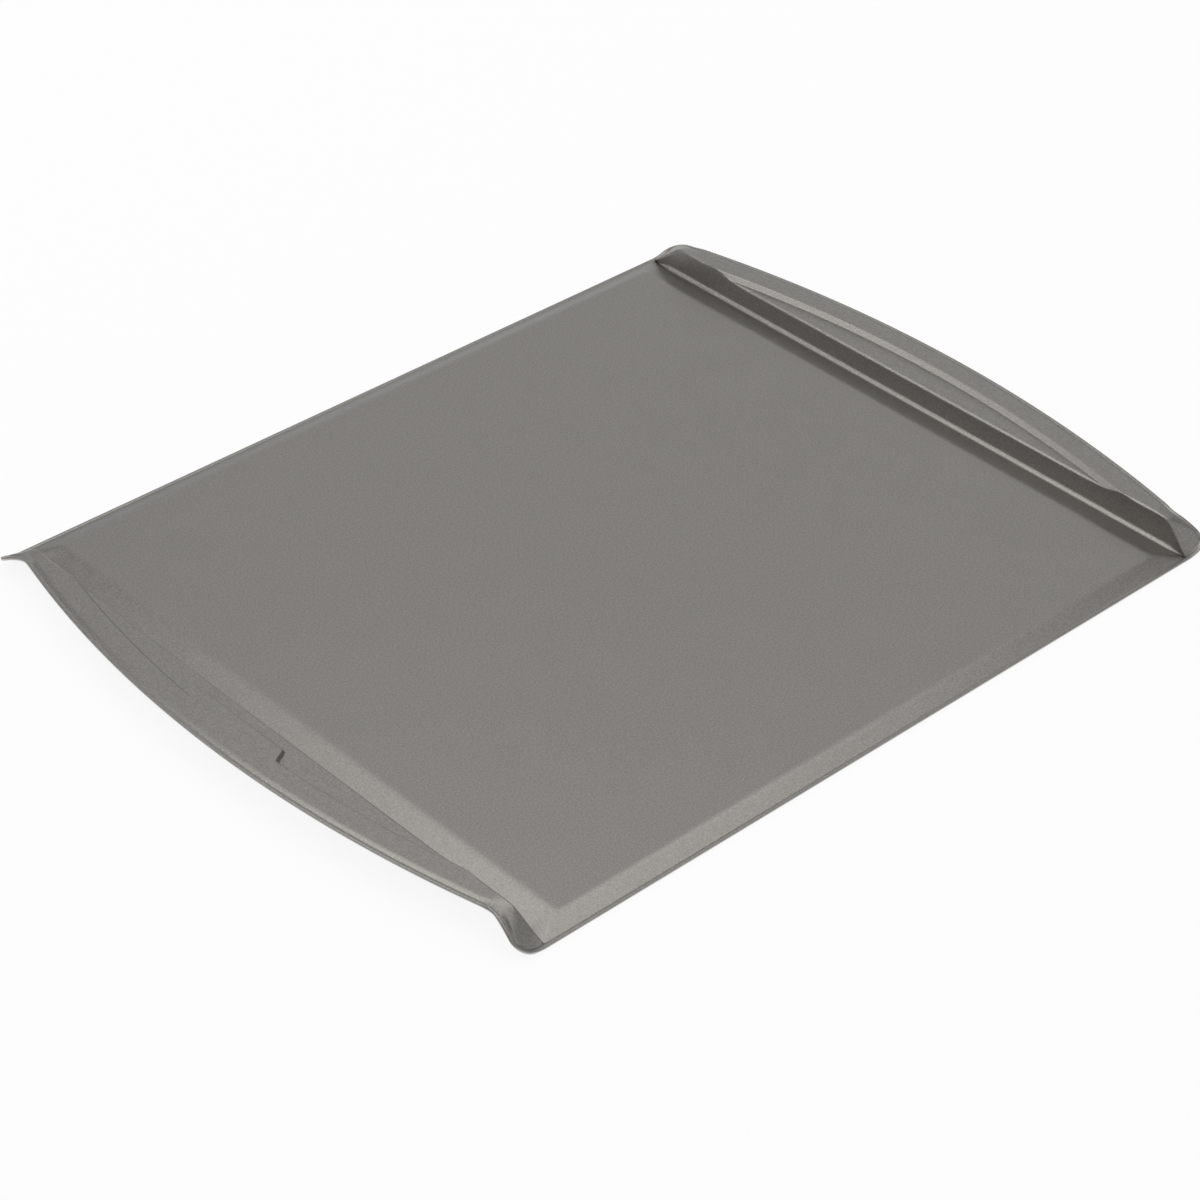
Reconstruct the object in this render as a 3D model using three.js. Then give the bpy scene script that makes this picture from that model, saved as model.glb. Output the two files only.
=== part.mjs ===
// Rimless baking sheet: one pressed steel blank, hemmed all round, with a film on each face.
// Millimetres, +Z up, origin on the table under the middle, +X along the pan through its handles.
// The handle at -X carries a plain raised panel, the one at +X has a clear thumb recess.
import * as THREE from 'three';

// Blank and films
const STEEL = 0.5;
const FILM = 0.04;

// Bake plateau, with its top above the table
const PLATEAU_LENGTH = 366.8;
const PLATEAU_WIDTH = 335.0;
const PLATEAU_TOP = 4.0;

// Bevels that fall away from the plateau, measured in plan
const END_BEVEL = 13.6;
const SIDE_BEVEL = 8.45;

// Trough between each end bevel and its handle, with its underside just clear of the table
const TROUGH_FLOOR = 1.8;
const TROUGH_LIFT = 0.15;

// Handle: leaning wall, flat grip, and an outer edge bowed between its two ears
const WALL_LEAN = 1.6;
const HANDLE_DEPTH = 28.2;
const GRIP_TOP = 13.8;
const HANDLE_BOW = 19.4;
const LIP_WIDTH = 3.5;
const LIP_DROP = 0.6;

// Thumb recess: a lens bounded by the wall's crest and by a sloping step along the bow
const RECESS_DEPTH = 2.2;
const RECESS_TIP = 0.5;
const RECESS_RAMP = 8.5;
const STEP_INSET = 13.5;
const STEP_WIDTH = 3.6;

// Plain panel raised to the grip's level across one recess
const PANEL_LENGTH = 54.0;
const PANEL_GAP = 4.6;
const PANEL_SLOPE = 1.2;

// Ears, where the handle's ends flare and dip to the table at the corners.
// The dip starts ahead of the bow's end and is eased at its top and at its foot.
const EAR_LENGTH = 22.4;
const EAR_FLARE = 2.1;
const RIDGE_RUN = 14.95;
const CORNER_RADIUS = 6.4;
const DIP_LEAD = 4.8;
const DIP_TOP_EASE = 18.0;
const DIP_FOOT_EASE = 12.0;

// Hem: the edge rolled under, with a hollow inside and a crease where it leaves the sheet
const HEM_WIDTH = 1.85;
const HEM_GAP = 0.5;
const HEM_CHAMFER = 0.45;
const HEM_CLEARANCE = 0.2;

// Facets
const PANEL_STEPS = 3;
const BOW_STEPS = 6;
const RAMP_STEPS = 2;
const GRIP_STEPS = 2;
const GRIP_BANDS = 3;
const EAR_STEPS = 4;
const CORNER_STEPS = 4;

// Derived places
const halfLength = PLATEAU_LENGTH / 2 + END_BEVEL + TROUGH_FLOOR + WALL_LEAN + HANDLE_DEPTH;
const halfWidth = PLATEAU_WIDTH / 2 + SIDE_BEVEL + HEM_WIDTH;
const plateauX = PLATEAU_LENGTH / 2;
const plateauY = PLATEAU_WIDTH / 2;
const troughX = plateauX + END_BEVEL;
const wallX = troughX + TROUGH_FLOOR;
const crestX = wallX + WALL_LEAN;
const troughTop = TROUGH_LIFT + STEEL;
const hemHeight = 2 * STEEL + HEM_GAP;
const creaseHeight = 2 * STEEL + FILM + HEM_CLEARANCE;
const gripHemZ = GRIP_TOP - LIP_DROP - creaseHeight;
const cornerX = troughX + TROUGH_FLOOR / 2;
const creaseY = halfWidth - HEM_WIDTH;
const earY = halfWidth - EAR_LENGTH;
const ridgeY = creaseY - RIDGE_RUN;
const bowRadius = (earY ** 2 + HANDLE_BOW ** 2) / (2 * HANDLE_BOW);
const earX = halfLength - HANDLE_BOW;

// Rows of a station's section where a face ends, counted out from the plateau's edge
const ROWS = { crease: 7, hemSide: 10, returnEnd: 13 };

// Keeps the fit of a moved vertex solvable where its faces lie in one plane
const FIT_DAMPING = 1e-4;

// Decimals to which points have to agree to be one vertex
const WELD_DIGITS = 6;

const { lerp, smoothstep, clamp } = THREE.MathUtils;

// Values after the first one, evenly spaced up to the last.
function spread(from, to, steps) {
  return Array.from({ length: steps }, (_, i) => lerp(from, to, (i + 1) / steps));
}

// How far the bowed edge has drawn back at a given distance from the handle's middle.
const bowSag = (y) => bowRadius - Math.sqrt(bowRadius ** 2 - y ** 2);
const bowTilt = (y) => Math.asin(y / bowRadius);
const bowReach = (sag) => Math.sqrt(bowRadius ** 2 - (bowRadius - sag) ** 2);
const stepFootX = (y) => halfLength - bowSag(y) - STEP_INSET - STEP_WIDTH / 2;
const recessY = bowReach(stepFootX(0) - crestX - RECESS_TIP);

// Plan outline of an ear: out from the bow to the flare, round the corner, and along the long side.
const earStraight = Math.hypot(EAR_FLARE, halfWidth - CORNER_RADIUS - earY);
const earArc = CORNER_RADIUS * Math.PI / 2;
const earTail = earX + EAR_FLARE - CORNER_RADIUS - cornerX;
const earPath = earStraight + earArc + earTail;

// Height of the hem's underside and how steeply it falls, at a distance along the outline from
// the bow's end: a straight ramp with a parabola at its top and another at its foot.
function hemDip(distance) {
  const run = DIP_LEAD + earPath;
  const along = clamp(distance + DIP_LEAD, 0, run);
  const top = Math.min(along, DIP_TOP_EASE);
  const foot = Math.max(along - run + DIP_FOOT_EASE, 0);
  const steepest = gripHemZ / (run - (DIP_TOP_EASE + DIP_FOOT_EASE) / 2);
  const fallen = along - top + top ** 2 / (2 * DIP_TOP_EASE) - foot ** 2 / (2 * DIP_FOOT_EASE);
  const slope = steepest * (top / DIP_TOP_EASE - foot / DIP_FOOT_EASE);
  return { bottom: gripHemZ - steepest * fallen, slope };
}

// Point of the hem's section, in from the pan's outline and up from the hem's underside.
// Heights stretch where the hem runs downhill, so that its section keeps its size.
function hemPoint({ outline, normal, bottom, slope }, inset, height) {
  const p = outline.clone().addScaledVector(normal, -inset);
  return p.setZ(bottom + height * Math.hypot(1, slope));
}

// Rows of the handle's section at one station: crest, foot and head of the step, lip and crease.
// fade is 0 on the bow and grows to 1 at the corner, where the lip runs out.
function gripRows({ y, crest, hem, panel, fade }) {
  const level = smoothstep(y, recessY, recessY + RECESS_RAMP);
  const crease = hemPoint(hem, HEM_WIDTH, creaseHeight);
  const lip = crease.clone().addScaledVector(hem.normal, -LIP_WIDTH * (1 - fade));
  lip.z += LIP_DROP * (1 - fade);
  const [foot, head] = spread(0, 1, GRIP_BANDS).map((share) => crest.clone().lerp(lip, share));
  const footX = panel ? crest.x + PANEL_GAP : stepFootX(y);
  const headX = footX + (panel ? PANEL_SLOPE : STEP_WIDTH);
  foot.x = lerp(footX, foot.x, level);
  head.x = lerp(headX, head.x, level);
  const sunk = RECESS_DEPTH * (1 - level);
  foot.z -= sunk;
  return [crest.clone().setZ(crest.z - sunk), foot, head, lip, crease];
}

// Hem rows, rolled out, down and back under from the crease.
function hemRows(hem) {
  return [
    hemPoint(hem, HEM_WIDTH / 2, hemHeight),
    hemPoint(hem, HEM_CHAMFER, hemHeight),
    hemPoint(hem, 0, hemHeight - HEM_CHAMFER),
    hemPoint(hem, 0, HEM_CHAMFER),
    hemPoint(hem, HEM_CHAMFER, 0),
    hemPoint(hem, HEM_WIDTH, 0),
  ];
}

// Station on the bowed part of the handle, straight across at one y.
function bowStation(y, panel) {
  const normal = new THREE.Vector3(Math.cos(bowTilt(y)), Math.sin(bowTilt(y)), 0);
  const outline = new THREE.Vector3(halfLength - bowSag(y), y, 0);
  const hem = { outline, normal, ...hemDip(y - earY) };
  const crest = new THREE.Vector3(crestX, y, GRIP_TOP);
  return [
    new THREE.Vector3(plateauX, y, PLATEAU_TOP),
    new THREE.Vector3(troughX, y, troughTop),
    new THREE.Vector3(wallX, y, troughTop),
    ...gripRows({ y, crest, hem, panel, fade: 0 }),
    ...hemRows(hem),
  ];
}

// Hem on the ear at a distance along the outline from the bow's end.
function earHem(distance) {
  const flared = clamp(distance / earStraight, 0, 1);
  const turn = clamp((distance - earStraight) / CORNER_RADIUS, 0, Math.PI / 2);
  const angle = lerp(bowTilt(earY), 0, flared) + turn;
  const normal = new THREE.Vector3(Math.cos(angle), Math.sin(angle), 0);
  const round = new THREE.Vector3(Math.cos(turn), Math.sin(turn), 0);
  const centre = new THREE.Vector3(earX + EAR_FLARE - CORNER_RADIUS, halfWidth - CORNER_RADIUS, 0);
  const outline = centre.addScaledVector(round, CORNER_RADIUS);
  outline.x -= EAR_FLARE * (1 - flared) + Math.max(distance - earStraight - earArc, 0);
  outline.y = lerp(earY, outline.y, flared);
  return { outline, normal, ...hemDip(distance) };
}

// Station on an ear: the crest follows a ridge down to the corner, the hem dips with it.
function earStation(distance) {
  const fade = distance / earPath;
  const hem = earHem(distance);
  const y = lerp(earY, creaseY, fade);
  const fall = clamp((y - ridgeY) / RIDGE_RUN, 0, 1);
  const crest = new THREE.Vector3(lerp(crestX, cornerX, fall), y, lerp(GRIP_TOP, creaseHeight, fall));
  const plateau = new THREE.Vector3(plateauX, lerp(earY, plateauY, fade), PLATEAU_TOP);
  const section = [
    new THREE.Vector3(troughX, y, troughTop),
    new THREE.Vector3(wallX, y, troughTop),
    ...gripRows({ y, crest, hem, panel: false, fade }),
  ];
  const atCorner = distance === earPath;
  const sheet = atCorner ? section.map(() => section.at(-1)) : section;
  return [plateau, ...sheet, ...hemRows(hem)];
}

// Stations of one end, from the corner at -Y to the corner at +Y.
function endStations(hasPanel) {
  const panelY = PANEL_LENGTH / 2;
  const inner = [0, ...spread(0, panelY, PANEL_STEPS)].map((y) => bowStation(y, hasPanel));
  const outer = [
    panelY + PANEL_SLOPE,
    ...spread(panelY + PANEL_SLOPE, recessY, BOW_STEPS),
    ...spread(recessY, recessY + RECESS_RAMP, RAMP_STEPS),
    ...spread(recessY + RECESS_RAMP, earY, GRIP_STEPS),
  ].map((y) => bowStation(y, false));
  const ear = [
    ...spread(0, earStraight, EAR_STEPS),
    ...spread(earStraight, earStraight + earArc, CORNER_STEPS),
    earPath,
  ].map(earStation);
  const half = [...inner, ...outer, ...ear];
  const mirror = half.slice(1).reverse().map((rows) => rows.map((p) => new THREE.Vector3(p.x, -p.y, p.z)));
  return [...mirror, ...half];
}

// The ring of stations round the pan: the clear handle's end, then the other one turned about.
const turned = (rows) => rows.map((p) => new THREE.Vector3(-p.x, -p.y, p.z));
const ring = [...endStations(false), ...endStations(true).map(turned)];

// Welded vertices of the upper face, as a grid of indices by station and row.
// The first vertex is the plateau's middle, and points that coincide become one.
function weld(stations, middle) {
  const vertices = [middle];
  const known = new Map();
  const index = (p) => {
    const key = p.toArray().map((v) => v.toFixed(WELD_DIGITS)).join();
    if (!known.has(key)) known.set(key, vertices.push(p) - 1);
    return known.get(key);
  };
  const grid = stations.map((rows) => rows.map(index));
  return { vertices, grid };
}

// Triangles of the plateau and of the first rows round it, facing up and out.
function ringFaces(grid, rowCount) {
  const triangles = [];
  const add = (a, b, c) => {
    if (a !== b && b !== c && c !== a) triangles.push([a, b, c]);
  };
  grid.forEach((rows, i) => {
    const next = grid[(i + 1) % grid.length];
    add(0, rows[0], next[0]);
    for (let j = 0; j + 1 < rowCount; j += 1) {
      add(rows[j], rows[j + 1], next[j + 1]);
      add(rows[j], next[j + 1], next[j]);
    }
  });
  return triangles;
}

// Moves each vertex so that the faces around it all shift by the distance along their normals.
// That is a least-squares fit of three unknowns, weighted by each face's angle at the vertex.
function offset(vertices, triangles, distance) {
  const fits = vertices.map(() => ({
    matrix: new THREE.Matrix3().multiplyScalar(FIT_DAMPING),
    target: new THREE.Vector3(),
  }));
  for (const triangle of triangles) {
    const corners = triangle.map((i) => vertices[i]);
    const normal = new THREE.Triangle(...corners).getNormal(new THREE.Vector3());
    const products = normal.toArray().flatMap((a) => normal.toArray().map((b) => a * b));
    triangle.forEach((vertex, k) => {
      const [one, other] = [1, 2].map((turn) => corners[(k + turn) % 3].clone().sub(corners[k]));
      const weight = one.angleTo(other);
      const { matrix, target } = fits[vertex];
      products.forEach((value, e) => {
        matrix.elements[e] += weight * value;
      });
      target.addScaledVector(normal, weight);
    });
  }
  return vertices.map((p, i) => {
    const move = fits[i].target.applyMatrix3(fits[i].matrix.invert());
    return p.clone().addScaledVector(move, distance);
  });
}

// Edges that only one triangle uses, in that triangle's direction.
function openEdges(triangles) {
  const edges = triangles.flatMap(([a, b, c]) => [[a, b], [b, c], [c, a]]);
  const used = new Set(edges.map(String));
  return edges.filter(([a, b]) => !used.has(String([b, a])));
}

// Closed mesh between an outer face and an inner one that share their triangles.
function layer(name, triangles, outer, inner, material) {
  const count = outer.length;
  const back = triangles.map(([a, b, c]) => [a + count, c + count, b + count]);
  const rim = openEdges(triangles).flatMap(([a, b]) => [
    [b, a, a + count],
    [b, a + count, b + count],
  ]);
  const faces = [...triangles, ...back, ...rim].flat();
  const points = [...outer, ...inner];
  const used = [...new Set(faces)];
  const slot = new Map(used.map((vertex, i) => [vertex, i]));
  const geometry = new THREE.BufferGeometry();
  const positions = used.flatMap((i) => points[i].toArray());
  geometry.setAttribute('position', new THREE.Float32BufferAttribute(positions, 3));
  geometry.setIndex(faces.map((i) => slot.get(i)));
  geometry.computeVertexNormals();
  const mesh = new THREE.Mesh(geometry, material);
  mesh.name = name;
  return mesh;
}

const flip = (triangles) => triangles.map(([a, b, c]) => [a, c, b]);

// The blank's two faces, and the part of each that its film covers
const { vertices: upper, grid } = weld(ring, new THREE.Vector3(0, 0, PLATEAU_TOP));
const sheetFaces = ringFaces(grid, ROWS.returnEnd + 1);
const topFaces = ringFaces(grid, ROWS.hemSide + 1);
const underFaces = flip(ringFaces(grid, ROWS.crease + 1));
const lower = offset(upper, sheetFaces, -STEEL);
const topSkin = offset(upper, topFaces, FILM);
const underSkin = offset(lower, underFaces, FILM);

const steel = new THREE.MeshStandardMaterial({ color: 0xb9b8b4, roughness: 0.35, metalness: 1.0 });
const satinGrey = new THREE.MeshStandardMaterial({ color: 0x807f7b, roughness: 0.45, metalness: 0.6 });
const darkGrey = new THREE.MeshStandardMaterial({ color: 0x6a6966, roughness: 0.5, metalness: 0.5 });

const pan = new THREE.Group();
pan.add(layer('steel_sheet', sheetFaces, upper, lower, steel));
pan.add(layer('top_film', topFaces, topSkin, upper, satinGrey));
pan.add(layer('underside_film', underFaces, underSkin, lower, darkGrey));

export default pan;
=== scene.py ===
"""Looks of a rimless baking sheet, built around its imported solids.

The sheet is one pressed steel blank, hemmed all round, with a satin flake film on its upper face
and a darker film on its lower one. Each of the three is a closed mesh that stands for the solid of
the same name. Sizes are in millimetres, meshes in metres, and both are in the part's own frame.
"""

import logging
import math
from dataclasses import dataclass
from enum import Enum, IntEnum

import bpy
import numpy as np
from mathutils import Matrix, Vector


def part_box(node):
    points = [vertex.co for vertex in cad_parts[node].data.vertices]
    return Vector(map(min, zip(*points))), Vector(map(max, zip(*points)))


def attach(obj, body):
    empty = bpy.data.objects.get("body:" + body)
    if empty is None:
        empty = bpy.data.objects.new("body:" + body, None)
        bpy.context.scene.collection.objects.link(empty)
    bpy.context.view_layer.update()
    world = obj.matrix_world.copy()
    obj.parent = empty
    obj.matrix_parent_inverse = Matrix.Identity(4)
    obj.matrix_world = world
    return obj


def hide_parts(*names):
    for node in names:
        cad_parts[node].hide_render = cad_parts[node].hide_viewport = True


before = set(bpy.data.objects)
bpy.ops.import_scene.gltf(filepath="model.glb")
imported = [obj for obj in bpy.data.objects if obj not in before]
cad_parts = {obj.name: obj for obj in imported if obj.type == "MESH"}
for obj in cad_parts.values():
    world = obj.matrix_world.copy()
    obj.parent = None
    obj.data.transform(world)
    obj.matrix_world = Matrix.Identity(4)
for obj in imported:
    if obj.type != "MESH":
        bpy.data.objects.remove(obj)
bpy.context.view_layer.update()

LOG = logging.getLogger("baking_sheet")
MM = 0.001
BODY = "root"
WHITE = (1.0, 1.0, 1.0, 1.0)

Numbers = np.ndarray | float


class Handle(Enum):
    """The two handles of the sheet, by what lies in the recess of each."""

    CLEAR = "an empty thumb recess"
    PANEL = "a plain panel raised across the recess"


class Row(IntEnum):
    """Control rows of the section, from the plateau out to the end of the hem's return."""

    INNER = 0
    EDGE = 1
    VALLEY = 2
    CREST = 3
    STEP_FOOT = 4
    STEP_HEAD = 5
    LIP = 6
    CREASE = 7
    HEM_CROWN = 8
    HEM_TOP = 9
    HEM_FOOT = 10
    HEM_END = 11


class Facing(Enum):
    """The ways in which a lamp faces."""

    DOWN = (0.0, 0.0, -1.0)
    RIGHT = (0.0, -1.0, 0.0)
    LEFT = (0.0, 1.0, 0.0)
    FRONT = (-1.0, 0.0, 0.0)
    BACK = (1.0, 0.0, 0.0)


def mix(start: Numbers, end: Numbers, share: Numbers) -> Numbers:
    """Returns the straight blend from start to end."""
    return start + (end - start) * share


def ease(value: np.ndarray, low: float, high: float) -> np.ndarray:
    """Returns 0 below low and 1 above high, with an S-shaped rise between them."""
    share = np.clip((value - low) / (high - low), 0.0, 1.0)
    return share * share * (3.0 - 2.0 * share)


def row(x: Numbers, y: Numbers, z: Numbers) -> np.ndarray:
    """Returns one point for each station."""
    return np.stack(np.broadcast_arrays(x, y, z), axis=-1).astype(float)


def paced(stops: list[tuple[float, float]], end: float) -> np.ndarray:
    """Spaces values along a line, closer together where the shape needs it.

    Args:
        stops: where each stretch starts, with the widest step that it may have.
        end: where the last stretch ends.

    Returns:
        The values in order, with both ends.
    """
    ends = [place for place, _ in stops[1:]] + [end]
    runs = [
        np.linspace(start, stop, math.ceil((stop - start) / step), endpoint=False)
        for (start, step), stop in zip(stops, ends)
    ]
    return np.concatenate(runs + [[end]])


@dataclass(frozen=True)
class BlankSizes:
    """Sizes of the pressed blank in millimetres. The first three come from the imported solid."""

    half_length: float
    half_width: float
    grip_top: float
    steel: float = 0.5
    film: float = 0.04
    plateau_length: float = 365.7
    plateau_width: float = 335.0
    plateau_top: float = 4.0
    plateau_corner: float = 3.0
    plateau_margin: float = 10.0
    end_bevel: float = 13.6
    trough_floor: float = 1.8
    trough_lift: float = 0.15
    notch: float = 0.9
    wall_lean: float = 2.1
    handle_bow: float = 19.4
    lip_width: float = 1.9
    lip_drop: float = 0.6
    recess_depth: float = 2.3
    recess_spread: float = 12.0
    step_inset: float = 14.3
    step_width: float = 1.8
    step_curl: float = 0.8
    step_gap: float = 0.45
    panel_length: float = 54.4
    panel_end: float = 5.0
    panel_gap: float = 5.7
    ear_length: float = 22.4
    ear_waist: float = 5.0
    ear_splay: float = 11.0
    ridge_run: float = 14.95
    ridge_soft: float = 1.4
    corner_radius: float = 6.4
    dip_lead: float = 4.8
    dip_top_ease: float = 18.0
    dip_foot_ease: float = 12.0
    hem_width: float = 1.85
    hem_gap: float = 0.5
    hem_clearance: float = 0.2
    hem_crown: float = 1.05

    @property
    def plateau_x(self) -> float:
        """Half the plateau's length."""
        return self.plateau_length / 2

    @property
    def plateau_y(self) -> float:
        """Half the plateau's width."""
        return self.plateau_width / 2

    @property
    def trough_x(self) -> float:
        """Where the end bevel reaches the trough's floor."""
        return self.plateau_x + self.end_bevel

    @property
    def wall_x(self) -> float:
        """Foot of the handle's wall."""
        return self.trough_x + self.trough_floor

    @property
    def crest_x(self) -> float:
        """Top of the handle's wall."""
        return self.wall_x + self.wall_lean

    @property
    def corner_x(self) -> float:
        """Where the trough runs out at the sheet's corner."""
        return self.trough_x + self.trough_floor / 2

    @property
    def trough_top(self) -> float:
        """Upper face of the trough's floor."""
        return self.trough_lift + self.steel

    @property
    def bevel_fall(self) -> float:
        """How steeply the end bevel falls to the trough."""
        return (self.plateau_top - self.trough_top) / self.end_bevel

    @property
    def hem_height(self) -> float:
        """Height of the rolled hem: two layers of steel and the hollow between them."""
        return 2 * self.steel + self.hem_gap

    @property
    def crease_height(self) -> float:
        """Height of the crease where the hem leaves the sheet, above the hem's underside."""
        return 2 * self.steel + self.film + self.hem_clearance

    @property
    def hip_x(self) -> float:
        """Where the hip between the end bevel and the side bevel reaches the crease."""
        return self.plateau_x + (self.plateau_top - self.crease_height) / self.bevel_fall

    @property
    def crease_y(self) -> float:
        """Where the crease runs along the long sides."""
        return self.half_width - self.hem_width

    @property
    def valley_y(self) -> float:
        """Where the trough ends, a notch short of the crease."""
        return self.crease_y - self.notch

    @property
    def ear_y(self) -> float:
        """Where the bow ends and the ear starts."""
        return self.half_width - self.ear_length

    @property
    def ridge_y(self) -> float:
        """Where the wall's crest starts to fall to the corner."""
        return self.crease_y - self.ridge_run

    @property
    def bow_radius(self) -> float:
        """Radius of the handle's bowed edge, from its sag between the two ears."""
        return (self.ear_y**2 + self.handle_bow**2) / (2 * self.handle_bow)

    @property
    def grip_hem(self) -> float:
        """Height of the hem's underside along the grip."""
        return self.grip_top - self.lip_drop - self.crease_height

    @property
    def valley(self) -> tuple[float, float]:
        """Place and height where the end bevel and the handle's wall would meet in a sharp trough.

        The bevel goes on falling past its end until it meets the line of the wall, which is found
        from the slopes of the two and the width of the trough's floor between them.

        Returns:
            The x of that line and its height.
        """
        rise = (self.grip_top - self.trough_top) / self.wall_lean
        run = (self.trough_floor * self.bevel_fall) / (rise + self.bevel_fall)
        return self.wall_x - run, self.trough_top - run * rise

    def bow_length(self, y: float) -> float:
        """Returns how far along the bowed edge y lies from the handle's middle."""
        return self.bow_radius * math.asin(y / self.bow_radius)

    def step_foot(self, y: np.ndarray) -> np.ndarray:
        """Finds the foot of the recess's step: beside the bow, curling in towards its ends.

        It lies in from the handle's edge by the bow's sag at y, by a curl that grows with the
        square of y, and by the step's inset and half its width.

        Args:
            y: places across the handle.

        Returns:
            The x of the foot at each of them.
        """
        sag = self.bow_radius - np.sqrt(self.bow_radius**2 - np.minimum(y, self.ear_y) ** 2)
        curl = self.step_curl * (y / self.ear_y) ** 2
        return self.half_length - sag - curl - self.step_inset - self.step_width / 2

    def recess_end(self, width: float) -> float:
        """Finds where a line beside the step's foot runs into the handle's wall.

        The line draws in with the square of y, by the bow's sag and the curl, so that y is the root
        of the room at the handle's middle over the bend of the line.

        Args:
            width: how far out from the step's foot the line lies.

        Returns:
            The y where it meets the wall.
        """
        room = self.half_length - self.step_inset - self.step_width / 2 + width - self.crest_x
        bend = 1 / (2 * self.bow_radius) + self.step_curl / self.ear_y**2
        return math.sqrt(room / bend)


@dataclass(frozen=True)
class Bends:
    """How far each bend of the section reaches along its two sides, in millimetres.

    The trough's bend runs out over valley_fade before the trough ends. An arc has that many steps,
    takes at most side_share of its shorter side, and has a support row that far beyond each end.
    """

    plateau: float = 1.9
    valley: float = 2.6
    valley_fade: float = 10.0
    crest: float = 1.1
    step: float = 0.2
    brink: float = 0.3
    ear: float = 3.0
    lip: float = 0.9
    crease: float = 0.22
    hem_crown: float = 0.3
    hem_side: float = 0.67
    steps: int = 4
    side_share: float = 0.45
    support: float = 0.3
    support_share: float = 0.49


@dataclass(frozen=True)
class StationSteps:
    """The widest steps between stations along each stretch of the hem, in millimetres.

    The steps towards the recess's end start recess_lead before the step's foot meets the wall.
    """

    bow: float = 4.0
    panel: float = 0.3
    recess_lead: float = 6.0
    recess_end: float = 0.8
    dip: float = 2.0
    ear: float = 0.75
    tail: float = 0.5


@dataclass(frozen=True)
class HemLine:
    """The hem at every station: its outline and outward normal in plan, its underside and slope."""

    place: np.ndarray
    normal: np.ndarray
    bottom: np.ndarray
    slope: np.ndarray

    def point(self, inset: float, height: float) -> np.ndarray:
        """Places a point of the hem's section at every station.

        Args:
            inset: how far in from the outline.
            height: how far up from the hem's underside, stretched where the hem runs downhill.

        Returns:
            One point for each station.
        """
        point = self.place - self.normal * inset
        point[:, 2] = self.bottom + height * np.hypot(1.0, self.slope)
        return point


class HemPath:
    """Plan of the hem over a quarter of the ring, drawn by the heading of its outward normal.

    The normal turns steadily along the bow, swings back in the ear's waist, runs straight along the
    splayed ear, turns through the corner and ends square to the long side.
    """

    DRAWN_STEP = 0.05
    WAIST_SAMPLES = 64

    def __init__(self, sizes: BlankSizes) -> None:
        """Works out the path.

        Args:
            sizes: sizes of the blank.
        """
        self.sizes = sizes
        tilt = math.asin(sizes.ear_y / sizes.bow_radius)
        splay = math.radians(sizes.ear_splay)
        waist = np.linspace(tilt, -splay, self.WAIST_SAMPLES)
        gained = sizes.ear_waist * float(np.cos(waist).mean())
        turned = sizes.corner_radius * (1.0 + math.sin(splay))
        straight = (sizes.ear_length - gained - turned) / math.cos(splay)
        arc = sizes.corner_radius * (math.pi / 2 + splay)
        self.bow = sizes.bow_radius * tilt
        lengths = np.cumsum([0.0, self.bow, sizes.ear_waist, straight, arc])
        headings = [0.0, tilt, -splay, -splay, math.pi / 2]
        drawn = np.arange(0.0, lengths[-1] + self.DRAWN_STEP, self.DRAWN_STEP)
        heading = np.interp(drawn, lengths, headings)
        middle = (heading[1:] + heading[:-1]) / 2
        self.drawn = drawn
        self.heading = heading
        self.x = sizes.half_length - np.concatenate([[0.0], np.cumsum(np.sin(middle))]) * self.DRAWN_STEP
        self.y = np.concatenate([[0.0], np.cumsum(np.cos(middle))]) * self.DRAWN_STEP
        self.turned = lengths[-1]
        self.end = self.turned + float(self.x[-1]) - sizes.corner_x

    def at(self, length: np.ndarray) -> tuple[np.ndarray, np.ndarray]:
        """Finds places on the path.

        Args:
            length: path lengths from the handle's middle.

        Returns:
            The places and their outward normals, both with a height of 0.
        """
        past = np.maximum(length - self.turned, 0.0)
        x = np.interp(length, self.drawn, self.x) - past
        y = np.minimum(np.interp(length, self.drawn, self.y), self.sizes.half_width)
        heading = np.interp(length, self.drawn, self.heading)
        return row(x, y, 0.0), row(np.cos(heading), np.sin(heading), 0.0)

    def dip(self, length: np.ndarray) -> tuple[np.ndarray, np.ndarray]:
        """Follows the hem down the ear: a straight ramp with a parabola at its top and foot.

        Args:
            length: path lengths from the handle's middle.

        Returns:
            The heights of the hem's underside and how steeply it falls there.
        """
        sizes = self.sizes
        run = sizes.dip_lead + self.end - self.bow
        along = np.clip(length - self.bow + sizes.dip_lead, 0.0, run)
        top = np.minimum(along, sizes.dip_top_ease)
        foot = np.maximum(along - run + sizes.dip_foot_ease, 0.0)
        steepest = sizes.grip_hem / (run - (sizes.dip_top_ease + sizes.dip_foot_ease) / 2)
        eased = top**2 / sizes.dip_top_ease - foot**2 / sizes.dip_foot_ease
        fallen = along - top + eased / 2
        slope = steepest * (top / sizes.dip_top_ease - foot / sizes.dip_foot_ease)
        return sizes.grip_hem - steepest * fallen, slope

    def line(self, length: np.ndarray) -> HemLine:
        """Returns the hem at those path lengths from the handle's middle."""
        return HemLine(*self.at(length), *self.dip(length))


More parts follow.
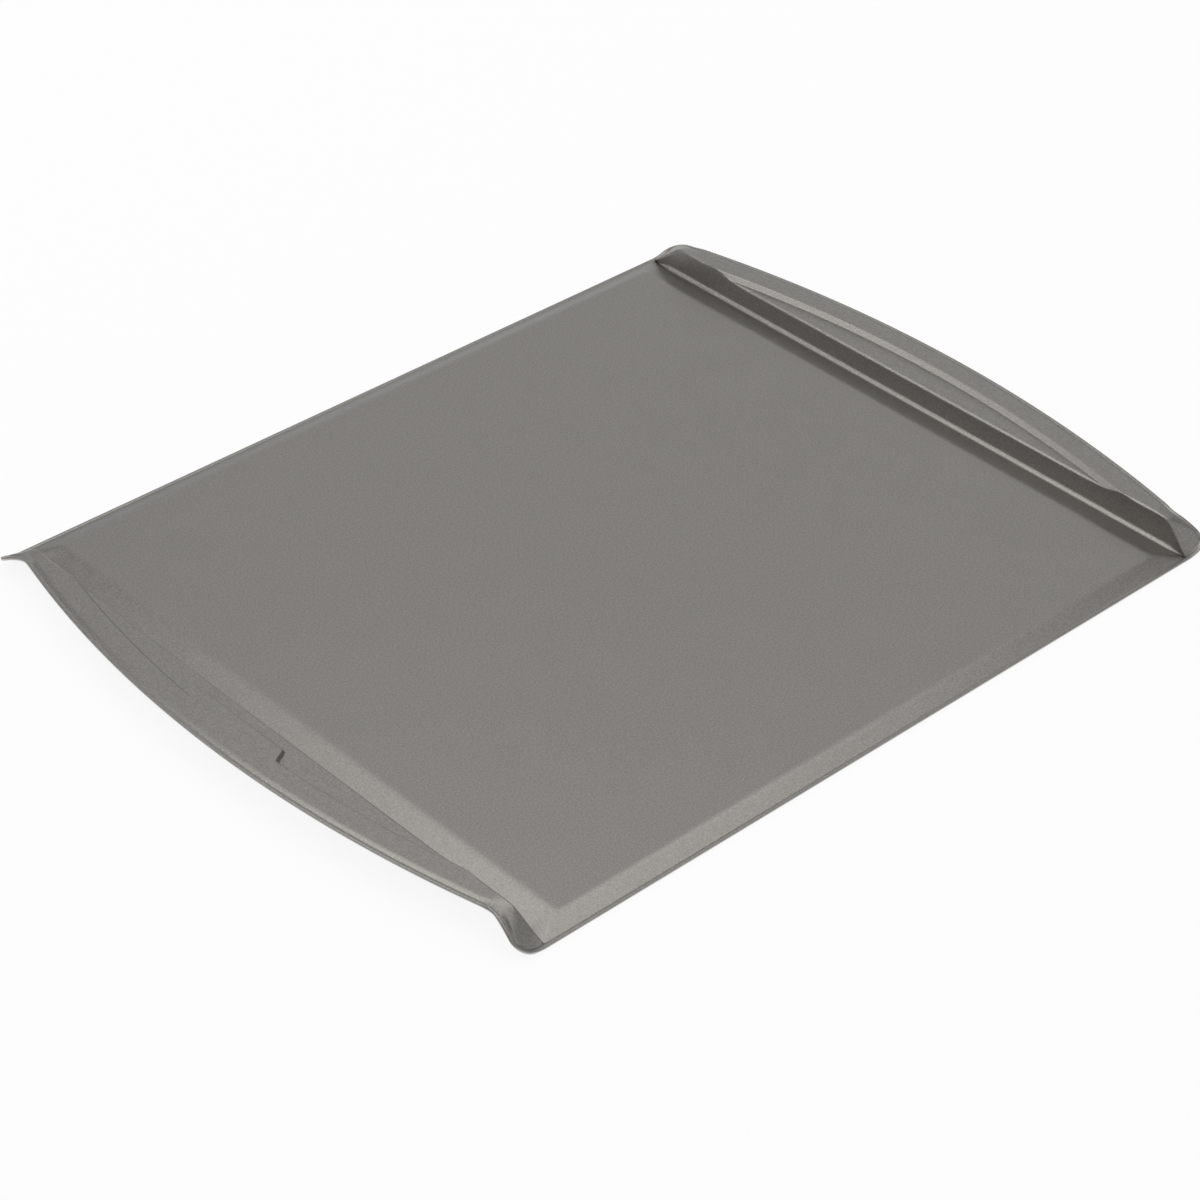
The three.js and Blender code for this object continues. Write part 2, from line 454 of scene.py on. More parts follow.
class PressedSurface:
    """Upper face of the blank: a section carried round the ring, with every bend rounded.

    A station is one place on the ring, and its section is a chain of control points, one for each
    Row. The plateau inside the ring is closed by rings that shrink to its middle.
    """

    RINGS = (0.0, 0.5)
    STEPS = StationSteps()
    FAN_STEPS = 6
    SIDE_STEPS = 5
    WELD = 1e-5
    SAME_POINT = 1e-9

    def __init__(self, sizes: BlankSizes, bends: Bends) -> None:
        """Builds the ring of rounded sections and welds it.

        Args:
            sizes: sizes of the blank.
            bends: reach of each bend.
        """
        self.sizes = sizes
        self.bends = bends
        self.path = HemPath(sizes)
        rows, self.crease_row, self.hem_row = self.rounded(*self.ring())
        self.points, self.grid = self.welded(rows)

    def stations(self) -> np.ndarray:
        """Spaces the stations of a quarter, closer together where the shape is fine.

        Returns:
            Path lengths from the handle's middle to the corner.
        """
        sizes, steps, path = self.sizes, self.STEPS, self.path
        panel = sizes.panel_length / 2
        stops = [
            (0.0, steps.bow),
            (sizes.bow_length(panel - sizes.panel_end), steps.panel),
            (sizes.bow_length(panel + sizes.panel_end), steps.bow),
            (sizes.bow_length(sizes.recess_end(0.0) - steps.recess_lead), steps.recess_end),
            (sizes.bow_length(sizes.recess_end(sizes.step_width)), steps.dip),
            (path.bow - sizes.dip_lead, steps.ear),
            (path.turned, steps.tail),
        ]
        return paced(stops, path.end)

    def hem_rows(self, hem: HemLine) -> list[np.ndarray]:
        """Places the hem's control rows round a rectangle, open on its inner side.

        Args:
            hem: the hem at every station.

        Returns:
            The rows of the crown, the outer top, the outer foot and the end of the return.
        """
        sizes = self.sizes
        spots = [
            (sizes.hem_crown, sizes.hem_height),
            (0.0, sizes.hem_height),
            (0.0, 0.0),
            (sizes.hem_width, 0.0),
        ]
        return [hem.point(inset, height) for inset, height in spots]

    def recessed(
        self, handle: Handle, crest: np.ndarray, lip: np.ndarray, spread: np.ndarray
    ) -> tuple[np.ndarray, np.ndarray, np.ndarray]:
        """Presses the thumb recess into the grip, between the wall's crest and the lip.

        The step is a straight slope from its foot to its head. A row that would lie inside the wall
        is held just outside the crest, at the height which the slope has there. Past the recess the
        two rows spread out to the thirds of the ear.

        Args:
            handle: which of the two handles.
            crest: the row along the wall's top, before pressing.
            lip: the row where the grip starts to fall to the hem.
            spread: how far the rows have spread, 0 along the recess and 1 on the ear.

        Returns:
            The rows of the crest, the step's foot and the step's head.
        """
        sizes = self.sizes
        y = crest[:, 1]
        raised = np.zeros_like(y)
        if handle is Handle.PANEL:
            low, high = ((sizes.panel_length + side * sizes.panel_end) / 2 for side in (-1, 1))
            raised = 1.0 - ease(y, low, high)
        foot_x = mix(sizes.step_foot(y), sizes.crest_x + sizes.panel_gap, raised)
        head_x = foot_x + sizes.step_width

        def sunk(x: np.ndarray) -> np.ndarray:
            """Returns how far below the grip the recess's step lies at x."""
            return sizes.recess_depth * np.clip((head_x - x) / (head_x - foot_x), 0.0, 1.0)

        foot, head = mix(crest, lip, 1 / 3), mix(crest, lip, 2 / 3)
        for number, line, step_x in ((1, foot, foot_x), (2, head, head_x)):
            shown = np.maximum(step_x, sizes.crest_x + number * sizes.step_gap)
            line[:, 0] = mix(shown, line[:, 0], spread)
            line[:, 2] -= sunk(shown)
        pressed = row(crest[:, 0], y, crest[:, 2] - sunk(crest[:, 0]))
        return pressed, foot, head

    def end_quarter(self, handle: Handle) -> tuple[np.ndarray, np.ndarray]:
        """Works out half of one end, from the handle's middle to the corner.

        Along the bow every row of the sheet lies at the hem's y. On the ear the rows part, and each
        is spaced evenly up to its own place at the corner. The wall's crest falls to the corner in
        a straight line with a soft start, which together are one branch of a hyperbola. The lip
        sinks into the crease along the ear, and the trough loses its rounding before it ends.

        Args:
            handle: which of the two handles.

        Returns:
            Control points by station and row, and the reach of each bend.
        """
        sizes, bends = self.sizes, self.bends
        length = self.stations()
        hem = self.path.line(length)
        fade = np.clip((length - self.path.bow) / (self.path.end - self.path.bow), 0.0, 1.0)

        def parted(corner: float) -> np.ndarray:
            """Returns the y of each station on a row that ends there at the corner."""
            return np.where(fade > 0.0, mix(sizes.ear_y, corner, fade), hem.place[:, 1])

        y = parted(sizes.crease_y)
        over = y - sizes.ridge_y
        fall = np.clip((over + np.hypot(over, sizes.ridge_soft)) / 2 / sizes.ridge_run, 0.0, 1.0)
        fall[-1] = 1.0
        crest_x = mix(sizes.crest_x, sizes.corner_x, fall)
        crest = row(crest_x, y, mix(sizes.grip_top, sizes.crease_height, fall))
        crease = hem.point(sizes.hem_width, sizes.crease_height)
        left = (1.0 - fade)[:, None]
        lip = crease - hem.normal * sizes.lip_width * left + np.array([0.0, 0.0, sizes.lip_drop]) * left
        tip = sizes.recess_end(sizes.step_width)
        spread = ease(y, tip, tip + sizes.recess_spread)
        crest, foot, head = self.recessed(handle, crest, lip, spread)
        for sheet_row in (crest, foot, head, lip):
            sheet_row[-1] = crease[-1]
        sharp = ease(y, sizes.valley_y - bends.valley_fade, sizes.valley_y)
        valley_x, valley_z = sizes.valley
        valley_height = mix(valley_z, sizes.trough_top, sharp)
        valley = row(valley_x, np.minimum(y, sizes.valley_y), valley_height)
        edge = row(sizes.plateau_x, parted(sizes.plateau_y - sizes.plateau_corner), sizes.plateau_top)
        inner_y = parted(sizes.plateau_y - sizes.plateau_margin)
        inner = row(sizes.plateau_x - sizes.plateau_margin, inner_y, sizes.plateau_top)
        rows = [inner, edge, valley, crest, foot, head, lip, crease, *self.hem_rows(hem)]
        step, brink = (mix(bend, bends.ear, spread) for bend in (bends.step, bends.brink))
        reach = self.reaches(len(length), bends.valley * (1.0 - sharp), step, brink)
        return np.stack(rows, axis=1), reach

    def reaches(self, count: int, valley: Numbers, step: Numbers, brink: Numbers) -> np.ndarray:
        """Lists the reach of every bend of the section, with no bend at its two ends.

        Args:
            count: number of stations.
            valley: reach of the trough's bend, at each station or for all.
            step: reach of the bend at the foot of the recess's step.
            brink: reach of the bend at its head.

        Returns:
            Reaches by station and row.
        """
        bends = self.bends
        reach = np.zeros((count, len(Row)))
        each = {
            Row.EDGE: bends.plateau,
            Row.VALLEY: valley,
            Row.CREST: bends.crest,
            Row.STEP_FOOT: step,
            Row.STEP_HEAD: brink,
            Row.LIP: bends.lip,
            Row.CREASE: bends.crease,
            Row.HEM_CROWN: bends.hem_crown,
            Row.HEM_TOP: bends.hem_side,
            Row.HEM_FOOT: bends.hem_side,
        }
        for number, bend in each.items():
            reach[:, number] = bend
        return reach

    def quarter(self, handle: Handle) -> tuple[np.ndarray, np.ndarray]:
        """Joins half an end, the fan round its plateau corner and half of the long side.

        Round the fan the plateau's edge turns through a quarter circle. The outer rows run to the
        hip in its first half and on along the side in its second, and the trough's row rises to the
        crease on the way. Along the side the sections are alike, at even shares of its length.

        Args:
            handle: which of the two handles.

        Returns:
            Control points by station and row, and the reach of each bend.
        """
        sizes = self.sizes
        end, end_reach = self.end_quarter(handle)
        share = np.linspace(0.0, 1.0, self.FAN_STEPS + 1)[1:, None]
        turn = share * math.pi / 2
        around = np.concatenate([np.cos(turn), np.sin(turn), 0.0 * turn], axis=1)
        inside = [sizes.plateau_x, sizes.plateau_y, sizes.plateau_top]
        centre = np.array(inside) - sizes.plateau_corner * np.array([1.0, 1.0, 0.0])
        fan = np.repeat(end[-1:], self.FAN_STEPS, axis=0)
        fan[:, Row.EDGE] = centre + around * sizes.plateau_corner
        to_hip, past_hip = np.minimum(2 * share, 1.0), np.maximum(2 * share - 1.0, 0.0)
        hip = mix(sizes.corner_x, sizes.hip_x, to_hip) - past_hip * sizes.plateau_corner
        fan[:, Row.CREST:, 0] = hip
        fan[:, Row.VALLEY] = mix(end[-1, Row.VALLEY], fan[:, Row.CREASE], to_hip)
        share = np.linspace(1.0, 0.0, self.SIDE_STEPS + 1)[1:]
        side = np.repeat(fan[-1:], self.SIDE_STEPS, axis=0)
        side[:, :, 0] *= share[:, None]
        rest = self.reaches(self.FAN_STEPS + self.SIDE_STEPS, 0.0, 0.0, 0.0)
        return np.concatenate([end, fan, side]), np.concatenate([end_reach, rest])

    def ring(self) -> tuple[np.ndarray, np.ndarray]:
        """Mirrors the quarters into the whole ring, anticlockwise from the clear handle's middle.

        Returns:
            Control points by station and row, and the reach of each bend.
        """
        clear, clear_reach = self.quarter(Handle.CLEAR)
        panel, panel_reach = self.quarter(Handle.PANEL)
        across, along, about = np.array([-1.0, 1, 1]), np.array([1.0, -1, 1]), np.array([-1.0, -1, 1])
        points = [clear, (panel * across)[-2::-1], (panel * about)[1:], (clear * along)[-2:0:-1]]
        reach = [clear_reach, panel_reach[-2::-1], panel_reach[1:], clear_reach[-2:0:-1]]
        return np.concatenate(points), np.concatenate(reach)

    def rounded(self, points: np.ndarray, reach: np.ndarray) -> tuple[np.ndarray, int, int]:
        """Rounds every bend of every section with a circular arc between two support rows.

        An arc is a rational parabola from one side of the bend to the other, weighted by the cosine
        of half the turn, which makes it part of a circle. The support rows beside it keep the flats
        flat when the mesh is shaded smooth.

        Args:
            points: control points by station and row.
            reach: how far each bend reaches along its sides.

        Returns:
            The finer rows, and the numbers of the crease's and of the hem side's row.
        """
        bends = self.bends
        share = np.linspace(0.0, 1.0, bends.steps + 1)[None, :, None]
        rings = [points[:, :1] * np.array([size, size, 1.0]) for size in self.RINGS]
        rows = [*rings, points[:, :1]]
        arc_ends = {}
        for bend in list(Row)[1:-1]:
            here = points[:, bend]
            sides = [points[:, bend - 1] - here, points[:, bend + 1] - here]
            lengths = [np.linalg.norm(side, axis=1) for side in sides]
            units = [
                side / np.maximum(size, self.SAME_POINT)[:, None] for side, size in zip(sides, lengths)
            ]
            near = np.minimum(reach[:, bend], bends.side_share * np.minimum(*lengths))[:, None]
            turn = -(units[0] * units[1]).sum(axis=1)
            weight = np.sqrt(np.clip((1.0 + turn) / 2, 0.0, 1.0))[:, None, None]
            start, stop = (here + unit * near for unit in units)
            blend = [(1 - share) ** 2, 2 * weight * share * (1 - share), share**2]
            corners = [start, here, stop]
            arc = sum(part * corner[:, None] for part, corner in zip(blend, corners)) / sum(blend)
            before, after = (
                here + unit * np.minimum(near + bends.support, bends.support_share * size[:, None])
                for unit, size in zip(units, lengths)
            )
            arc_ends[bend] = sum(part.shape[1] for part in rows) + 1 + bends.steps
            rows += [before[:, None], arc, after[:, None]]
        rows.append(points[:, -1:])
        crease = arc_ends[Row.CREASE] - bends.steps // 2
        return np.concatenate(rows, axis=1), crease, arc_ends[Row.HEM_TOP]

    def welded(self, rows: np.ndarray) -> tuple[np.ndarray, np.ndarray]:
        """Makes points that coincide one vertex.

        Args:
            rows: points by station and row.

        Returns:
            The vertices, and their numbers by station and row.
        """
        keys = np.round(rows.reshape(-1, 3) / self.WELD).astype(np.int64)
        _, first, number = np.unique(keys, axis=0, return_index=True, return_inverse=True)
        return rows.reshape(-1, 3)[first], number.reshape(rows.shape[:2])

    def faces(self, row_count: int) -> np.ndarray:
        """Lists the triangles of the first rows, two for each cell of the grid, facing up and out.

        Args:
            row_count: how many rows, counted from the plateau's middle.

        Returns:
            Vertex numbers of each triangle, without those that have no area.
        """
        here = self.grid[:, :row_count]
        beyond = np.roll(here, -1, axis=0)
        a, b, c, d = here[:, :-1], here[:, 1:], beyond[:, 1:], beyond[:, :-1]
        both = [np.stack(corners, axis=-1).reshape(-1, 3) for corners in ((a, b, c), (a, c, d))]
        triangles = np.concatenate(both)
        shifted = np.roll(triangles, -1, axis=1)
        return triangles[(triangles != shifted).all(axis=1)]


def moved(points: np.ndarray, triangles: np.ndarray, distance: float) -> np.ndarray:
    """Moves a face along its normals, keeping its bends sharp.

    Each vertex is moved so that the triangles round it all shift by the distance, which is a
    least-squares fit of three unknowns weighted by each triangle's angle at the vertex. A shift
    that a tight fold makes too long is cut short.

    Args:
        points: vertices.
        triangles: vertex numbers of the face's triangles.
        distance: how far to move, positive outwards.

    Returns:
        The moved vertices.
    """
    damping, longest, tiny = 1e-3, 1.25, 1e-15
    corners = points[triangles]
    normal = np.cross(corners[:, 1] - corners[:, 0], corners[:, 2] - corners[:, 0])
    normal /= np.maximum(np.linalg.norm(normal, axis=1), tiny)[:, None]
    product = normal[:, :, None] * normal[:, None, :]
    matrix = np.zeros((len(points), 3, 3)) + damping * np.eye(3)
    target = np.zeros((len(points), 3))
    for k in range(3):
        one, other = (corners[:, (k + turn) % 3] - corners[:, k] for turn in (1, 2))
        sizes = np.linalg.norm(one, axis=1) * np.linalg.norm(other, axis=1)
        angle = np.arccos(np.clip((one * other).sum(axis=1) / np.maximum(sizes, tiny), -1.0, 1.0))
        np.add.at(matrix, triangles[:, k], angle[:, None, None] * product)
        np.add.at(target, triangles[:, k], angle[:, None] * normal)
    shift = np.linalg.solve(matrix, target[..., None])[..., 0]
    size = np.linalg.norm(shift, axis=1, keepdims=True)
    return points + shift * np.minimum(1.0, longest / np.maximum(size, tiny)) * distance


def layer(
    triangles: np.ndarray, outer: np.ndarray, inner: np.ndarray
) -> tuple[np.ndarray, np.ndarray]:
    """Closes the space between two faces that share their triangles.

    The rim is made of the edges that no triangle runs along the other way, and a band of two
    triangles for each of them joins the two faces.

    Args:
        triangles: vertex numbers, facing from the inner face to the outer one.
        outer: vertices of the outer face.
        inner: vertices of the inner face.

    Returns:
        Vertices and triangles of the closed mesh.
    """
    count = len(outer)
    edges = np.concatenate([triangles[:, [0, 1]], triangles[:, [1, 2]], triangles[:, [2, 0]]])
    codes = edges[:, 0] * count + edges[:, 1]
    rim = edges[~np.isin(codes, edges[:, 1] * count + edges[:, 0])]
    start, stop = rim[:, 0], rim[:, 1]
    halves = [(stop, start, start + count), (stop, start + count, stop + count)]
    band = np.concatenate([np.stack(half, axis=1) for half in halves])
    faces = np.concatenate([triangles, triangles[:, ::-1] + count, band])
    used, faces = np.unique(faces, return_inverse=True)
    return np.concatenate([outer, inner])[used], faces.reshape(-1, 3)


class Value:
    """A socket of a node tree, with the arithmetic of shader values."""

    def __init__(self, shader: "Shader", socket: bpy.types.NodeSocket) -> None:
        """Keeps the socket and the tree that it belongs to."""
        self.shader = shader
        self.socket = socket

    def maths(self, operation: str, first: "Value | float", second: "Value | float") -> "Value":
        """Returns the result of a Math node."""
        return self.shader.node("ShaderNodeMath", {"operation": operation}, {0: first, 1: second})

    def __add__(self, other: "Value | float") -> "Value":
        """Returns self + other."""
        return self.maths("ADD", self, other)

    def __sub__(self, other: "Value | float") -> "Value":
        """Returns self - other."""
        return self.maths("SUBTRACT", self, other)

    def __rsub__(self, other: float) -> "Value":
        """Returns other - self."""
        return self.maths("SUBTRACT", other, self)

    def __mul__(self, other: "Value | float") -> "Value":
        """Returns self * other."""
        return self.maths("MULTIPLY", self, other)

    __radd__ = __add__
    __rmul__ = __mul__


class Shader:
    """A node tree that is written as expressions."""

    NOISE_MIDDLE = 0.5
    MIX_FIRST_COLOR = 6
    MIX_SECOND_COLOR = 7
    MIX_COLOR = 2

    def __init__(self, tree: bpy.types.NodeTree) -> None:
        """Empties the tree."""
        self.tree = tree
        tree.nodes.clear()

    def node(
        self,
        kind: str,
        settings: dict[str, object] | None = None,
        inputs: dict[int | str, object] | None = None,
        output: int | str = 0,
    ) -> Value | None:
        """Adds a node.

        Args:
            kind: the node's type.
            settings: its properties, set first.
            inputs: a value or a linked Value for each socket.
            output: which output to return.

        Returns:
            The output, or nothing for a node that has none.
        """
        made = self.tree.nodes.new(kind)
        for name, setting in (settings or {}).items():
            setattr(made, name, setting)
        for key, value in (inputs or {}).items():
            if isinstance(value, Value):
                self.tree.links.new(value.socket, made.inputs[key])
            else:
                made.inputs[key].default_value = value
        return Value(self, made.outputs[output]) if len(made.outputs) else None

    def noise(self, place: Value, scale: float, detail: float, roughness: float) -> Value:
        """Returns a noise around its middle at that many features per metre."""
        values = {"Vector": place, "Scale": scale, "Detail": detail, "Roughness": roughness}
        return self.node("ShaderNodeTexNoise", None, values, "Fac")

    def tinted(self, dark: tuple[float, ...], light: tuple[float, ...], share: Value) -> Value:
        """Blends two colours.

        Args:
            dark: the colour at a share of 0.
            light: the colour at a share of 1.
            share: where between them.

        Returns:
            The blended colour.
        """
        ends = {self.MIX_FIRST_COLOR: (*dark, 1.0), self.MIX_SECOND_COLOR: (*light, 1.0)}
        values = {"Factor": share, **ends}
        return self.node("ShaderNodeMix", {"data_type": "RGBA"}, values, self.MIX_COLOR)

    def bumped(self, height: Value, strength: float, depth: float) -> Value:
        """Returns the normal of a surface with that relief, its depth in millimetres."""
        values = {"Strength": strength, "Distance": depth * MM, "Height": height}
        return self.node("ShaderNodeBump", None, values)

    def surface(self, color: Value, metallic: float, roughness: Value, normal: Value) -> None:
        """Ends a material's tree with a Principled BSDF.

        Args:
            color: the base colour.
            metallic: how much of a metal it is.
            roughness: how far it scatters reflections.
            normal: the normal with the relief.
        """
        values = {"Base Color": color, "Metallic": metallic, "Roughness": roughness, "Normal": normal}
        principled = self.node("ShaderNodeBsdfPrincipled", None, values)
        self.node("ShaderNodeOutputMaterial", None, {"Surface": principled})


@dataclass(frozen=True)
class FlakeFilm:
    """Satin non-stick film: metal flakes in a baked binder, with a fine grain and a slow mottle."""

    name: str
    dark: tuple[float, float, float]
    light: tuple[float, float, float]
    roughness: float
    grain_bump: float
    grain_depth: float = 0.1
    metallic: float = 1.0
    flake_scale: float = 1250.0
    mottle_scale: float = 45.0
    mottle_share: float = 0.05
    roughness_swing: float = 0.10

    def material(self) -> bpy.types.Material:
        """Builds the film: the flakes set its tint, its roughness and its relief.

        Returns:
            The material.
        """
        made = bpy.data.materials.new(self.name)
        made.use_nodes = True
        shader = Shader(made.node_tree)
        place = shader.node("ShaderNodeTexCoord", output="Object")
        flakes = shader.noise(place, self.flake_scale, detail=3.0, roughness=0.65)
        mottle = shader.noise(place, self.mottle_scale, detail=4.0, roughness=0.55)
        tone = flakes * (1.0 - self.mottle_share) + mottle * self.mottle_share
        rough = self.roughness + (flakes - Shader.NOISE_MIDDLE) * self.roughness_swing
        normal = shader.bumped(flakes, self.grain_bump, self.grain_depth)
        shader.surface(shader.tinted(self.dark, self.light, tone), self.metallic, rough, normal)
        return made


@dataclass(frozen=True)
class RolledSteel:
    """Bare cold-rolled steel of the hem's underside, with the rolling marks along the sheet."""

    name: str
    dark: tuple[float, float, float] = (0.36, 0.355, 0.345)
    light: tuple[float, float, float] = (0.52, 0.515, 0.50)
    metallic: float = 1.0
    roughness: float = 0.34
    roughness_swing: float = 0.2
    stretch: tuple[float, float, float] = (40.0, 2600.0, 2600.0)
    mark_bump: float = 0.25
    mark_depth: float = 0.01
    mark_share: float = 0.6
    cloud_scale: float = 90.0

    def material(self) -> bpy.types.Material:
        """Builds the steel: fine marks drawn out along the sheet, over slow clouds.

        Returns:
            The material.
        """
        made = bpy.data.materials.new(self.name)
        made.use_nodes = True
        shader = Shader(made.node_tree)
        place = shader.node("ShaderNodeTexCoord", output="Object")
        drawn = shader.node("ShaderNodeMapping", None, {"Vector": place, "Scale": self.stretch})
        marks = shader.noise(drawn, 1.0, detail=4.0, roughness=0.6)
        clouds = shader.noise(place, self.cloud_scale, detail=3.0, roughness=0.5)
        tone = marks * self.mark_share + clouds * (1.0 - self.mark_share)
        rough = self.roughness + (marks - Shader.NOISE_MIDDLE) * self.roughness_swing
        normal = shader.bumped(marks, self.mark_bump, self.mark_depth)
        shader.surface(shader.tinted(self.dark, self.light, tone), self.metallic, rough, normal)
        return made


class BakingSheet:
    """The pressed and hemmed blank with its two films."""

    SHARP = math.radians(40.0)
    BARE = RolledSteel("rolled_steel")
    SATIN = FlakeFilm("satin_flake_film", (0.09, 0.0868, 0.081), (0.35, 0.3372, 0.316), 0.36, 0.5)
    DARK = FlakeFilm("dark_flake_film", (0.115, 0.112, 0.106), (0.15, 0.146, 0.138), 0.48, 0.3)

    def __init__(self) -> None:
        """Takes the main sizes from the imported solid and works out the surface."""
        _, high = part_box("steel_sheet")
        self.sizes = BlankSizes(high.x / MM, high.y / MM, high.z / MM)
        self.surface = PressedSurface(self.sizes, Bends())

    def piece(self, node: str, mesh: tuple[np.ndarray, np.ndarray]) -> bpy.types.Object:
        """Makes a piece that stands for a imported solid.

        Args:
            node: the solid's name.
            mesh: vertices in millimetres and triangles.

        Returns:
            The piece, riding on the part's body.
        """
        points, triangles = mesh
        data = bpy.data.meshes.new(f"{node}_pressed")
        data.from_pydata(points * MM, [], triangles)
        data.shade_smooth()
        data.set_sharp_from_angle(angle=self.SHARP)
        made = bpy.data.objects.new(f"{node}_pressed", data)
        bpy.context.scene.collection.objects.link(made)
        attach(made, BODY)
        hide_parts(node)
        LOG.info("%s: %d vertices, %d triangles", made.name, len(points), len(triangles))
        return made

    def build(self) -> list[bpy.types.Object]:
        """Builds and dresses the blank and its films.

        The steel lies under the pressed surface, the top film on it out to the hem's outermost line,
        and the underside film below the steel, in as far as the crease.

        Returns:
            The three pieces.
        """
        sizes, surface = self.sizes, self.surface
        blank = surface.faces(surface.grid.shape[1])
        covered = surface.faces(surface.hem_row + 1)
        below = surface.faces(surface.crease_row + 1)[:, ::-1]
        upper = surface.points
        lower = moved(upper, blank, -sizes.steel)
        top_skin = moved(upper, covered, sizes.film)
        low_skin = moved(lower, below, sizes.film)
        steel = self.piece("steel_sheet", layer(blank, upper, lower))
        top = self.piece("top_film", layer(covered, top_skin, upper))
        under = self.piece("underside_film", layer(below, low_skin, lower))
        pieces = [steel, top, under]
        for made, finish in zip(pieces, (self.BARE, self.SATIN, self.DARK)):
            made.data.materials.append(finish.material())
        return pieces


@dataclass(frozen=True)
class Softbox:
    """A soft studio lamp: an upright or level rectangle between two corners, in metres."""

    name: str
    low: tuple[float, float, float]
    high: tuple[float, float, float]
    facing: Facing
    radiance: float

    def build(self) -> bpy.types.Object:
        """Hangs the lamp, with the power that gives its face the radiance.

        Returns:
            The lamp.
        """
        width, depth = (high - low for low, high in zip(self.low, self.high) if high > low)
        data = bpy.data.lights.new(self.name, "AREA")
        data.shape = "RECTANGLE"
        data.size = width
        data.size_y = depth
        data.energy = math.pi * width * depth * self.radiance
        made = bpy.data.objects.new(self.name, data)
        bpy.context.scene.collection.objects.link(made)
        made.location = (Vector(self.low) + Vector(self.high)) / 2
        made.rotation_euler = Vector(self.facing.value).to_track_quat("-Z", "Y").to_euler()
        made.visible_camera = False
        return made


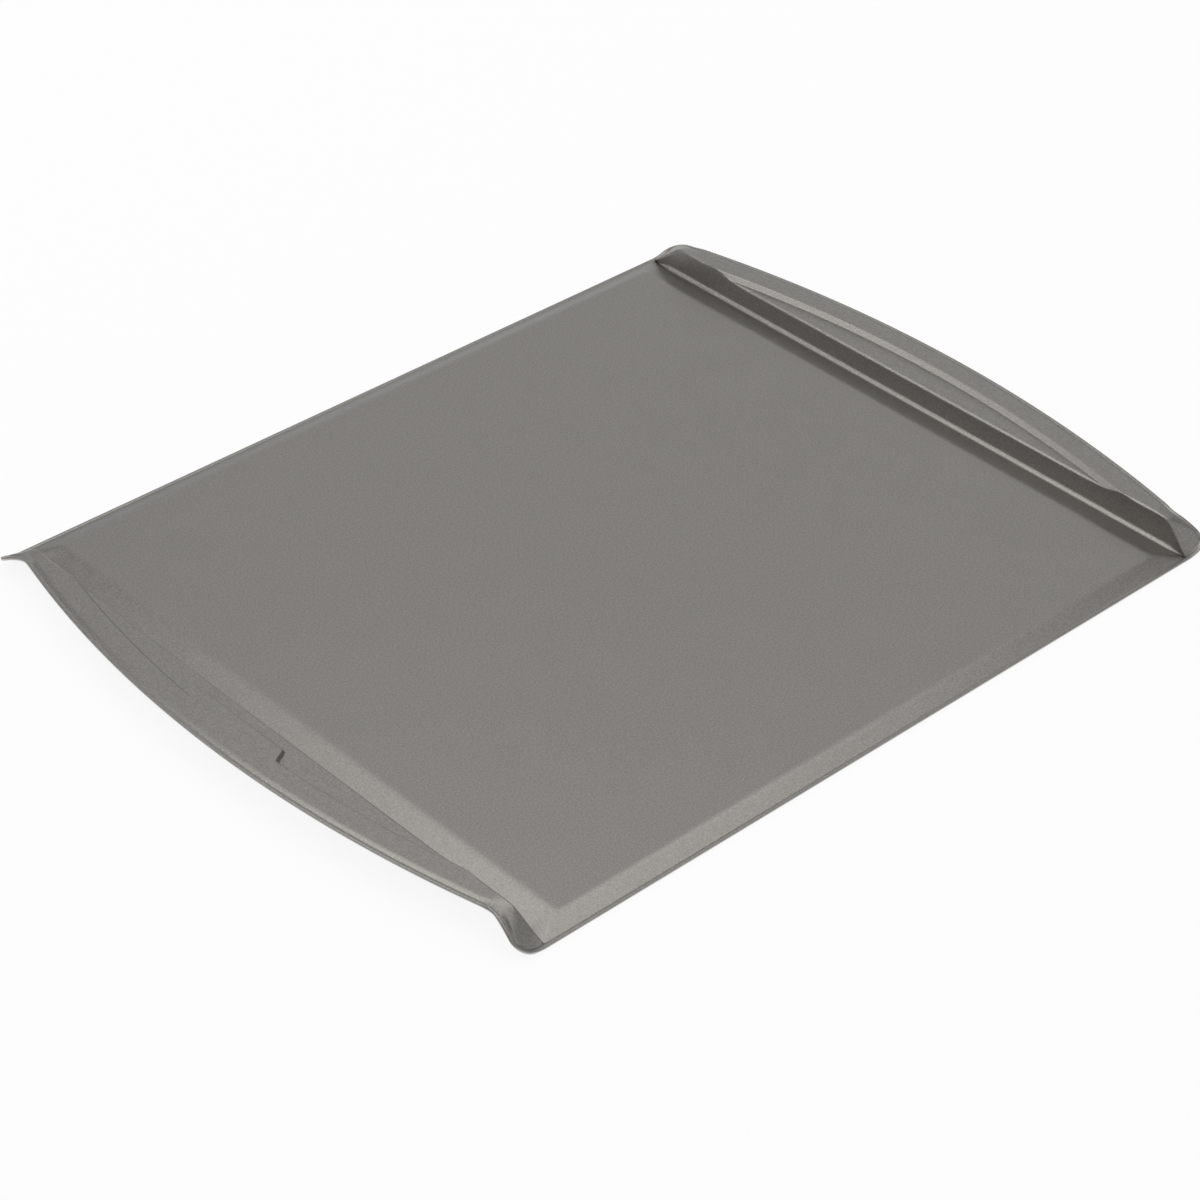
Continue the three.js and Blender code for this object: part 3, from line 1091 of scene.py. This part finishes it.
@dataclass(frozen=True)
class Studio:
    """White floor, soft lamps and dim surround, and the camera that sees the sheet as pictured.

    The lamps line a box round the sheet without overlapping, and each is as bright as what the
    satin film shows from that side. The surround turns from white to dim between the two heights of
    horizon, which are sines of the angle above it. Places are in metres, the camera's lens and sensor
    in millimetres and its roll in degrees.
    """

    camera_place: tuple[float, float, float] = (-0.8718, -0.9103, 0.9001)
    camera_aim: tuple[float, float, float] = (-0.02467, -0.02192, 0.0)
    camera_roll: float = 1.301
    lens: float = 102.085
    sensor: float = 36.0
    floor_size: float = 40.0
    floor_drop: float = 0.0001
    floor_grey: float = 0.8
    floor_glow: float = 0.9
    horizon: tuple[float, float] = (0.05, 0.14)
    dimness: float = 0.03
    lamps: tuple[Softbox, ...] = (
        Softbox("front_overhead", (-1.8, 0.3, 1.7), (0.3, 1.35, 1.7), Facing.DOWN, 2.64),
        Softbox("right_overhead", (0.3, -0.35, 1.7), (1.4, 0.3, 1.7), Facing.DOWN, 2.46),
        Softbox("middle_overhead", (0.3, 0.3, 1.7), (0.7, 1.35, 1.7), Facing.DOWN, 2.0),
        Softbox("middle_wing", (0.7, 0.3, 1.7), (1.4, 0.7, 1.7), Facing.DOWN, 2.0),
        Softbox("right_ceiling", (-1.8, -1.8, 1.7), (2.0, -0.35, 1.7), Facing.DOWN, 0.83),
        Softbox("back_ceiling", (0.7, 0.7, 1.7), (2.6, 2.6, 1.7), Facing.DOWN, 0.79),
        Softbox("left_backdrop", (0.4, 2.6, 0.6), (2.6, 2.6, 1.7), Facing.RIGHT, 1.03),
        Softbox("left_window", (-1.8, 2.6, 0.95), (0.4, 2.6, 1.7), Facing.RIGHT, 1.8),
        Softbox("left_foot", (1.3, 2.6, 0.0), (2.6, 2.6, 0.6), Facing.RIGHT, 0.25),
        Softbox("back_backdrop", (2.6, 0.4, 0.6), (2.6, 2.6, 1.7), Facing.FRONT, 1.06),
        Softbox("back_card", (2.6, -1.8, 0.0), (2.6, 0.4, 1.7), Facing.FRONT, 0.6),
        Softbox("front_window", (-1.8, 0.7, 0.95), (-1.8, 2.6, 1.7), Facing.BACK, 3.0),
        Softbox("front_card", (-1.8, -1.8, 0.0), (-1.8, 0.7, 1.7), Facing.BACK, 0.2),
        Softbox("front_foot", (-1.8, 0.7, 0.0), (-1.8, 2.6, 0.95), Facing.BACK, 0.15),
        Softbox("right_card", (-1.8, -1.8, 0.0), (2.6, -1.8, 1.7), Facing.LEFT, 0.89),
    )

    def camera(self) -> bpy.types.Object:
        """Sets up the camera.

        Returns:
            The camera.
        """
        data = bpy.data.cameras.new("camera")
        data.lens = self.lens
        data.sensor_width = self.sensor
        made = bpy.data.objects.new("camera", data)
        bpy.context.scene.collection.objects.link(made)
        toward = Vector(self.camera_aim) - Vector(self.camera_place)
        turned = toward.to_track_quat("-Z", "Y").to_matrix()
        roll = Matrix.Rotation(math.radians(self.camera_roll), 3, "Z")
        made.matrix_world = Matrix.Translation(self.camera_place) @ (turned @ roll).to_4x4()
        bpy.context.scene.camera = made
        return made

    def backdrop(self, shader: Shader) -> Value:
        """Tells the rays that see the backdrop itself: camera, glossy and transmission rays.

        Args:
            shader: the tree that asks.

        Returns:
            1 for those rays and 0 for the light that falls on other things.
        """
        camera, glossy, through = (
            shader.node("ShaderNodeLightPath", output=f"Is {kind} Ray")
            for kind in ("Camera", "Glossy", "Transmission")
        )
        return camera + glossy + through

    def floor(self) -> bpy.types.Object:
        """Lays the floor, which shows white and keeps a soft shadow.

        Returns:
            The floor.
        """
        half = self.floor_size / 2
        corners = np.array([[-1, -1], [1, -1], [1, 1], [-1, 1]]) * half
        points = np.column_stack([corners, np.full(len(corners), -self.floor_drop)])
        data = bpy.data.meshes.new("floor")
        data.from_pydata(points, [], [(0, 1, 2, 3)])
        made = bpy.data.objects.new("floor", data)
        bpy.context.scene.collection.objects.link(made)
        paint = bpy.data.materials.new("pale_floor")
        paint.use_nodes = True
        shader = Shader(paint.node_tree)
        grey = (self.floor_grey, self.floor_grey, self.floor_grey, 1.0)
        matt = shader.node("ShaderNodeBsdfDiffuse", None, {"Color": grey})
        white = shader.node("ShaderNodeEmission", None, {"Color": WHITE, "Strength": 1.0})
        seen = self.backdrop(shader) * self.floor_glow
        surface = shader.node("ShaderNodeMixShader", None, {0: seen, 1: matt, 2: white})
        shader.node("ShaderNodeOutputMaterial", None, {"Surface": surface})
        data.materials.append(paint)
        return made

    def world(self) -> None:
        """Surrounds the sheet with a studio that is white at the horizon and dim above it."""
        made = bpy.data.worlds.new("studio")
        bpy.context.scene.world = made
        made.use_nodes = True
        shader = Shader(made.node_tree)
        toward = shader.node("ShaderNodeTexCoord", output="Generated")
        height = shader.node("ShaderNodeSeparateXYZ", None, {0: toward}, "Z")
        low, high = self.horizon
        ends = {"From Min": low, "From Max": high, "To Min": 1.0, "To Max": self.dimness}
        strength = shader.node("ShaderNodeMapRange", None, {"Value": height, **ends})
        values = {"Color": WHITE, "Strength": strength}
        light = shader.node("ShaderNodeBackground", None, values)
        shader.node("ShaderNodeOutputWorld", None, {"Surface": light})

    def build(self) -> None:
        """Builds the studio."""
        bpy.context.scene.view_settings.view_transform = "Standard"
        self.camera()
        self.floor()
        self.world()
        for lamp in self.lamps:
            lamp.build()


def main() -> None:
    """Builds the sheet and the studio."""
    logging.basicConfig(level=logging.INFO, format="%(name)s: %(message)s")
    Studio().build()
    for made in BakingSheet().build():
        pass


if __name__ == "__main__":
    main()
